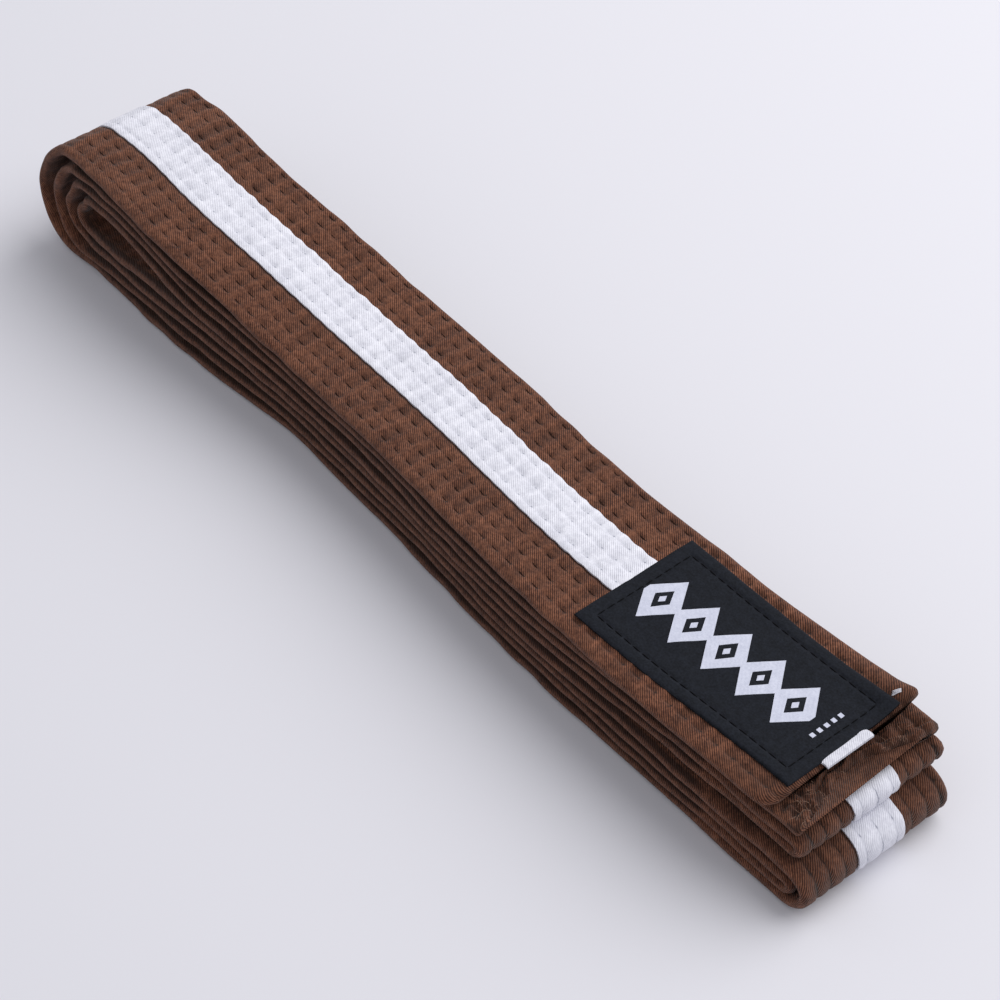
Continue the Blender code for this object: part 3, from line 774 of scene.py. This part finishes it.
def sewn_on(s, v):
    """Where a point of the label is sewn: the label is askew, drawn in at its near corner by the tip."""
    tipward = smooth_step(1 - (s - LABEL_NEAR_S) / (LABEL_FAR_S - LABEL_NEAR_S))
    nearer = np.clip(0.5 - (v - LABEL_Y) / (2 * LABEL_HALF), 0, 1)
    return s - LABEL_PUSHED * tipward, v + LABEL_DRAWN_IN * tipward * nearer


def label_sheet(name, rows, columns):
    """The label's cloth: a thin closed sheet over a grid of s and v."""
    side_v = LABEL_HALF * np.linspace(-1, 1, columns)
    s, v = np.meshgrid(np.linspace(LABEL_NEAR_S, LABEL_FAR_S, rows), LABEL_Y + side_v, indexing="ij")
    top, bottom = (place(*sewn_on(s, v), label_level(s, v) - depth) for depth in (0, LABEL_THICK))
    index = np.arange(rows * columns).reshape(rows, columns)
    corners = (index[:-1, :-1], index[:-1, 1:], index[1:, 1:], index[1:, :-1])
    upper = np.stack(corners, axis=-1).reshape(-1, 4)
    lower = upper[:, ::-1] + index.size
    rim = np.concatenate([index[0], index[1:, -1], index[-1, -2::-1], index[-2:0:-1, 0]])
    following = np.roll(rim, -1)
    walls = np.stack([following, rim, rim + index.size, following + index.size], axis=-1)
    faces = np.concatenate([upper, lower, walls])
    if np.cross(top[0, 1] - top[0, 0], top[1, 0] - top[0, 0])[2] < 0:
        faces = faces[:, ::-1]
    piece = mesh_object(name, np.concatenate([top, bottom]).reshape(-1, 3), faces.tolist())
    piece.data.set_sharp_from_angle(angle=SHARP_ANGLE)
    strap = np.stack([s, v, 0 * s], axis=-1).reshape(-1, 3)
    store(piece, "strap", np.concatenate([strap, strap]))
    return piece


def flat_drawing(name, outlines, thickness):
    """A mesh of a flat shape with holes, from its outlines."""
    curve = bpy.data.curves.new(name, "CURVE")
    curve.dimensions = "2D"
    curve.fill_mode = "BOTH"
    curve.extrude = thickness / 2
    for outline in outlines:
        spline = curve.splines.new("POLY")
        spline.points.add(len(outline) - 1)
        for point, (u, w) in zip(spline.points, outline):
            point.co = (u, w, 0, 1)
        spline.use_cyclic_u = True
    drawing = add_object(name, curve)
    bpy.context.view_layer.update()
    mesh = bpy.data.meshes.new_from_object(drawing.evaluated_get(bpy.context.evaluated_depsgraph_get()))
    bpy.data.objects.remove(drawing)
    bpy.data.curves.remove(curve)
    mesh.name = name
    return mesh


def outline_sheet(name, outlines, thickness):
    """A flat shape with holes, laid on the label: thin, closed and finely cut."""
    mesh = flat_drawing(name, outlines, thickness)
    piece = add_object(name, mesh)
    solid = bmesh.new()
    solid.from_mesh(mesh)
    bmesh.ops.remove_doubles(solid, verts=solid.verts, dist=0.005 * MM)
    for axis, normal in enumerate((Vector((1, 0, 0)), Vector((0, 1, 0)))):
        low = min(vert.co[axis] for vert in solid.verts)
        high = max(vert.co[axis] for vert in solid.verts)
        for cut in np.arange(low + MOTIF_CUTS, high, MOTIF_CUTS):
            geometry = solid.verts[:] + solid.edges[:] + solid.faces[:]
            bmesh.ops.bisect_plane(
                solid, geom=geometry, plane_co=normal * cut, plane_no=normal, dist=0.002 * MM,
            )
    solid.to_mesh(mesh)
    solid.free()
    flat = np.array([vert.co for vert in mesh.vertices])
    s, v = LABEL_TIP_X - flat[:, 0], flat[:, 1]
    out = label_level(s, v) + MOTIF_LIFT + flat[:, 2]
    mesh.vertices.foreach_set("co", place(*sewn_on(s, v), out).astype(np.float32).ravel())
    mesh.update()
    store(piece, "strap", np.stack([s, v, 0 * s], axis=-1))
    return piece


def diamond_chain():
    """Five linked diamonds with hollow middles, each holding a small solid diamond."""
    count, neck, hole, seed = 5, 2.0 * MM, 0.46, 0.17
    pitch, height = (motif_high.x - motif_low.x) / count, motif_high.y - motif_low.y
    centre_y = (motif_high.y + motif_low.y) / 2
    edges, inner_shapes = {-1: [], 1: []}, []
    for index in range(count):
        left = motif_low.x + pitch * index
        centre = left + pitch / 2
        for sign, edge in edges.items():
            edge += [(left, centre_y + sign * neck / 2), (centre, centre_y + sign * height / 2)]
        for scale in (hole, seed):
            reach_x, reach_y = pitch / 2 * scale, height / 2 * scale
            corners = ((-reach_x, 0), (0, -reach_y), (reach_x, 0), (0, reach_y))
            inner_shapes.append([(centre + dx, centre_y + dy) for dx, dy in corners])
    for sign, edge in edges.items():
        edge.append((motif_high.x, centre_y + sign * neck / 2))
    return [edges[-1] + edges[1][::-1]] + inner_shapes


def size_marks():
    """A row of small squares across the label, near the tip."""
    count, half, pitch = 5, 0.6 * MM, 2.4 * MM
    x = label_high.x - 6.6 * MM
    middles = [LABEL_Y + (index - 2) * pitch + 1.2 * MM for index in range(count)]
    corners = ((-half, -half), (half, -half), (half, half), (-half, half))
    return [[(x + dx, y + dy) for dx, dy in corners] for y in middles]


def label_stitches():
    """The black thread round the label, stitch by stitch."""
    low_s, high_s = LABEL_NEAR_S + SEAM, LABEL_FAR_S - SEAM
    low_v, high_v = LABEL_Y - LABEL_HALF + SEAM, LABEL_Y + LABEL_HALF - SEAM
    corners = [(low_s, low_v), (high_s, low_v), (high_s, high_v), (low_s, high_v), (low_s, low_v)]
    arch = 0.20 * MM * np.sin(np.linspace(0, pi, 7)) - 0.06 * MM
    paths = []
    for (s0, v0), (s1, v1) in zip(corners, corners[1:]):
        count = int(round((abs(s1 - s0) + abs(v1 - v0)) / LABEL_STITCH_PITCH))
        for index in range(count):
            share = (index + np.linspace(0.08, 0.92, 7)) / count
            s, v = s0 + (s1 - s0) * share, v0 + (v1 - v0) * share
            paths.append(place(*sewn_on(s, v), label_level(s, v) + arch))
    return paths


# ---- materials ----
class Nodes:
    """A small helper that adds nodes to a material and links them."""

    def __init__(self, name):
        self.material = bpy.data.materials.new(name)
        self.material.use_nodes = True
        self.tree = self.material.node_tree
        self.shader = self.tree.nodes["Principled BSDF"]

    def link(self, value, socket):
        if isinstance(value, bpy.types.NodeSocket):
            self.tree.links.new(value, socket)
        else:
            socket.default_value = value

    def node(self, kind, inputs=(), **settings):
        node = self.tree.nodes.new("ShaderNode" + kind)
        for name, value in settings.items():
            setattr(node, name, value)
        for key, value in dict(inputs).items():
            self.link(value, node.inputs[key])
        return node

    def math(self, operation, a, b=0.0, c=0.0, clamp=False):
        return self.node("Math", {0: a, 1: b, 2: c}, operation=operation, use_clamp=clamp).outputs[0]

    def times(self, a, b):
        return self.math("MULTIPLY", a, b)

    def add(self, a, b, clamp=False):
        return self.math("ADD", a, b, clamp=clamp)

    def comb(self, value, sharpness):
        """1 at each whole number, falling off as fast as the sharpness says."""
        wave = self.math("ABSOLUTE", self.math("COSINE", self.times(value, pi)))
        return self.math("POWER", wave, sharpness)

    def attribute(self, name, output):
        return self.node("Attribute", attribute_name=name).outputs[output]

    def millimetres(self, vector):
        return self.node("VectorMath", {0: vector, "Scale": 1 / MM}, operation="SCALE").outputs[0]

    def split(self, vector):
        return self.node("SeparateXYZ", {0: vector}).outputs

    def combine(self, x, y):
        return self.node("CombineXYZ", {0: x, 1: y}).outputs[0]

    def noise(self, vector, scale, detail=2.0, roughness=0.5):
        inputs = {"Vector": vector, "Scale": scale, "Detail": detail, "Roughness": roughness}
        return self.node("TexNoise", inputs).outputs["Fac"]

    def ramp(self, factor, stops):
        node = self.node("ValToRGB", {0: factor})
        elements = node.color_ramp.elements
        while len(elements) < len(stops):
            elements.new(0.5)
        for element, (position, colour) in zip(elements, stops):
            element.position = position
            element.color = (*colour, 1.0)
        return node.outputs[0]

    def mix(self, factor, a, b):
        """From the colour of a socket to one of plain numbers."""
        return self.node("Mix", {"Factor": factor, 6: a, 7: (*b, 1.0)}, data_type="RGBA").outputs[2]

    def finish(self, colour, roughness, specular, height=None, bump=(0.0, 0.0)):
        """Sets the shader, with a bump of some strength and distance, and returns the material."""
        settings = {"Base Color": colour, "Roughness": roughness, "Specular IOR Level": specular}
        if height is not None:
            inputs = {"Strength": bump[0], "Distance": bump[1], "Height": height}
            settings["Normal"] = self.node("Bump", inputs).outputs[0]
        for name, value in settings.items():
            self.link(value, self.shader.inputs[name])
        return self.material


def twill_material(
    name, colours, rib_pitch, hollow, painted_shade_colour, seam_shade, needle_shade, sheen, roughness, bump,
):
    """Cotton twill: fine slanting ribs, uneven yarns, and painted shade in the hollows at the quilting
    stitches.
    """
    m = Nodes(name)
    place_mm = m.millimetres(m.attribute("strap", "Vector"))
    s, v, _ = m.split(place_mm)
    warp = m.noise(m.combine(s, v), 0.30, 2.0)
    slant = m.math("SUBTRACT", m.times(v, 0.77), m.times(s, 0.64))
    slant = m.add(slant, m.times(warp, 0.16))
    ribs = m.math("MULTIPLY_ADD", m.math("SINE", m.times(slant, 2 * pi / rib_pitch)), 0.5, 0.5)
    along_rib = m.add(m.times(s, 0.77), m.times(v, 0.64))
    yarns = m.noise(m.combine(m.times(along_rib, 0.9), m.times(slant, 3.2)), 1.0, 3.0, 0.65)
    patches = m.noise(place_mm, 0.13, 3.0, 0.6)
    mottling = m.noise(place_mm, 0.75, 4.0, 0.75)
    tone = m.add(m.times(yarns, 0.75), m.times(patches, 0.45))
    tone = m.add(m.add(tone, m.times(ribs, 0.50)), m.times(mottling, 1.20))
    colour = m.ramp(m.math("SUBTRACT", tone, 0.955), list(zip((0.18, 0.50, 0.82), colours)))

    # painted shade: darker along the rows where the strap is folded, at each needle hole, and in the hollows
    row, turns, fold = m.split(m.attribute("quilt", "Vector"))
    on_row = m.comb(row, 260.0)
    seam = m.times(m.times(on_row, fold), seam_shade)
    seam = m.times(seam, m.add(m.times(m.comb(turns, 5.0), 1.1), 0.35))
    needle_hole_shade = m.times(m.comb(m.add(turns, 0.24), 70.0), on_row)
    seam = m.add(seam, m.times(needle_hole_shade, needle_shade))
    # how much of the painted shade colour is mixed into the cloth's own colour
    depth = m.add(m.times(m.attribute("relief_and_painted_shade", "Fac"), hollow), seam, clamp=True)
    fuzz = m.noise(place_mm, 5.5, 2.0, 0.7)
    height = m.add(m.add(m.times(ribs, 0.7), m.times(yarns, 0.6)), m.times(fuzz, 0.25))
    m.shader.inputs["Sheen Weight"].default_value = sheen
    m.shader.inputs["Sheen Roughness"].default_value = 0.45
    rough = m.math("MULTIPLY_ADD", fuzz, 0.12, roughness)
    return m.finish(m.mix(depth, colour, painted_shade_colour), rough, 0.25, height, (0.9, bump))


def plain_weave_material(name, dark, light, pitch, roughness):
    """A fine plain weave, for the label and its motif."""
    m = Nodes(name)
    place_mm = m.millimetres(m.attribute("strap", "Vector"))
    s, v, _ = m.split(place_mm)
    weave = m.times(*(m.math("SINE", m.times(axis, 2 * pi / pitch)) for axis in (s, v)))
    weave = m.math("MULTIPLY_ADD", weave, 0.5, 0.5)
    cloud = m.noise(place_mm, 0.5, 3.0, 0.6)
    flecks = m.noise(place_mm, 1.7, 3.0, 0.75)
    factor = m.add(m.add(m.times(weave, 0.35), m.times(cloud, 0.35)), m.times(flecks, 0.60))
    colour = m.ramp(factor, [(0.46, dark), (0.84, light)])
    rough = m.math("MULTIPLY_ADD", cloud, 0.15, roughness)
    return m.finish(colour, rough, 0.15, weave, (0.7, 0.06 * MM))


def thread_material(name, dark, light, roughness):
    """Twisted sewing thread."""
    m = Nodes(name)
    twist = m.noise(m.millimetres(m.node("TexCoord").outputs["Object"]), 2.5, 2.0, 0.6)
    colour = m.ramp(twist, [(0.3, dark), (0.75, light)])
    return m.finish(colour, roughness, 0.12, twist, (0.5, 0.08 * MM))


# after each twill's own colours: rib pitch, painted shade strength and colour, painted shade along folded
# rows and in needle holes, sheen, roughness, bump distance
BROWN = twill_material(
    "brown_twill", ((0.042, 0.012, 0.006), (0.131, 0.046, 0.023), (0.288, 0.117, 0.064)),
    0.50, 0.70, (0.018, 0.006, 0.003), 0.65, 0.75, 0.12, 0.80, 0.26 * MM,
)
WHITE = twill_material(
    "white_twill", ((0.62, 0.62, 0.69), (0.79, 0.79, 0.87), (0.90, 0.90, 0.97)),
    0.48, 0.34, (0.30, 0.31, 0.38), 0.80, 1.10, 0.10, 0.75, 0.07 * MM,
)
LABEL = plain_weave_material("label_satin", (0.0012, 0.0016, 0.0030), (0.0180, 0.0210, 0.0300), 0.34, 0.72)
MOTIF = plain_weave_material("motif_weave", (0.50, 0.52, 0.64), (0.70, 0.72, 0.84), 0.42, 0.7)
THREAD_BROWN = thread_material("thread_brown", (0.014, 0.005, 0.003), (0.046, 0.018, 0.011), 0.8)
FRAY_BROWN = thread_material("fray_brown", (0.10, 0.050, 0.034), (0.36, 0.23, 0.17), 0.8)
THREAD_WHITE = thread_material("thread_white", (0.62, 0.62, 0.68), (0.84, 0.84, 0.90), 0.65)
THREAD_BLACK = thread_material("thread_black", (0.0015, 0.0015, 0.002), (0.006, 0.006, 0.008), 0.9)


def dress(piece, material):
    piece.data.materials.append(material)
    return piece


# ---- build the pieces ----
COUNTS = {  # spacing along, then points across the front, across the back and across the tape
    "label_end": (FINE_STATION, 84, 30, 30),
    "outer": (STATION, 64, 26, 18),
    "middle": (STATION, 64, 26, 18),
    "inner": (STATION, 40, 26, 14),
    "plain_end": (STATION, 46, 84, 18),
}
straps, tapes = {}, {}
for stretch, (spacing, front_count, back_count, _) in COUNTS.items():
    straps[stretch] = dress(make_strap(stretch, spacing, front_count, back_count), BROWN)
for stretch, (spacing, _, _, columns) in COUNTS.items():
    tapes[stretch] = dress(make_tape(stretch, spacing, columns), WHITE)

TAPE_ROWS = [row for row, offset in enumerate(ROW_OFFSETS) if abs(offset) < STRIPE_HALF]
COVER_ROWS = [row for row in range(len(ROW_OFFSETS)) if row not in TAPE_ROWS]
brown_paths = stitch_paths(COVER_ROWS, 0.03 * MM)
white_paths = stitch_paths(TAPE_ROWS, TAPE_HEIGHT + 0.02 * MM) + bar_tack()
brown_threads = thread_mesh("label_end_brown_thread", brown_paths, 0.11 * MM)
white_threads = thread_mesh("label_end_white_thread", white_paths, 0.12 * MM)
dress(brown_threads, THREAD_BROWN)
dress(white_threads, THREAD_WHITE)
frays = dress(thread_mesh("plain_end_frays", fray_paths(), FRAY_RADIUS, sides=4), FRAY_BROWN)
label = dress(label_sheet("label_cloth", 150, 84), LABEL)
motif = outline_sheet("label_diamonds", diamond_chain() + size_marks(), MOTIF_THICK)
dress(motif, MOTIF)
stitching = dress(thread_mesh("label_thread", label_stitches(), 0.15 * MM), THREAD_BLACK)

# ---- riding and replacing ----
for stretch in ("outer", "inner"):
    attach(straps[stretch], "root")
    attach(tapes[stretch], "root")
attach(frays, "plain_end_flap")
for body, turn, blended in (
    ("label_end_flap", 1, (straps["label_end"], tapes["label_end"], brown_threads, white_threads)),
    ("plain_end_flap", 2, (straps["plain_end"], tapes["plain_end"])),
    ("middle_fold", 4, (straps["middle"], tapes["middle"])),
):
    for piece in blended:
        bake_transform(piece)
for piece in (label, motif, stitching):
    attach(piece, "label_end_flap")

for stretch, stripe, covers in (
    ("label_end", "label_end_stripe", ("run_1_cover", "label_end_core", "label_tip_hem")),
    ("plain_end", "plain_end_stripe", ("run_2_cover", "plain_end_core", "plain_tip_hem")),
    ("middle", "middle_fold_stripe",
     ("run_3_cover", "run_4_cover", "near_upper_turn_cover", "middle_fold_core")),
    ("outer", "outer_stretch_stripe",
     ("run_5_cover", "run_8_cover", "near_outer_turn_cover", "far_turn_1_cover",
      "far_turn_4_cover", "outer_stretch_core")),
    ("inner", "inner_stretch_stripe",
     ("run_6_cover", "run_7_cover", "near_inner_turn_cover", "far_turn_2_cover",
      "far_turn_3_cover", "inner_stretch_core")),
):
    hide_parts(*covers)
    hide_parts(stripe)
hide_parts("label_patch")
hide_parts("label_motif")
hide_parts("label_stitching")
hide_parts(*[f"stitch_row_{row + 1}" for row in COVER_ROWS])
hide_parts(*[f"stitch_row_{row + 1}" for row in TAPE_ROWS])

# ---- floor, light and camera ----
FLOOR_SIZE = 6.0
bpy.ops.mesh.primitive_plane_add(size=FLOOR_SIZE, location=(0, 0, 0))
floor = bpy.context.object
floor.name = "floor"
floor.data.materials.append(Nodes("floor_paper").finish((0.735, 0.73, 0.78, 1.0), 0.9, 0.1))

world = bpy.data.worlds.new("studio")
bpy.context.scene.world = world
world.use_nodes = True
background = world.node_tree.nodes["Background"]
background.inputs["Color"].default_value = (0.95, 0.96, 1.0, 1.0)
background.inputs["Strength"].default_value = 0.56


def aimed(name, data, location, direction):
    """A light or a camera at a place, looking in a direction."""
    thing = add_object(name, data)
    thing.location = location
    thing.rotation_mode = "QUATERNION"
    thing.rotation_quaternion = direction.to_track_quat("-Z", "Y")
    return thing


LIGHT_PLACE = Vector((0.25, 0.80, 0.95))
key = bpy.data.lights.new("key_light", "AREA")
key.shape = "DISK"
key.size = 1.6
key.energy = 15.5
key.color = (1.0, 0.99, 0.98)
aimed("key_light", key, LIGHT_PLACE, -LIGHT_PLACE)

CAMERA_TARGET = Vector((0.0117, 0.0102, 0.0))
CAMERA_DISTANCE = 0.6446
CAMERA_AZIMUTH = radians(50.17)
CAMERA_ELEVATION = radians(45.03)
camera_data = bpy.data.cameras.new("camera")
camera_data.sensor_width = 36.0
camera_data.lens = 89.3
back = Vector((
    sin(CAMERA_AZIMUTH) * cos(CAMERA_ELEVATION),
    -cos(CAMERA_AZIMUTH) * cos(CAMERA_ELEVATION),
    sin(CAMERA_ELEVATION),
))
bpy.context.scene.camera = aimed("camera", camera_data, CAMERA_TARGET + back * CAMERA_DISTANCE, -back)
bpy.context.scene.view_settings.view_transform = "Standard"
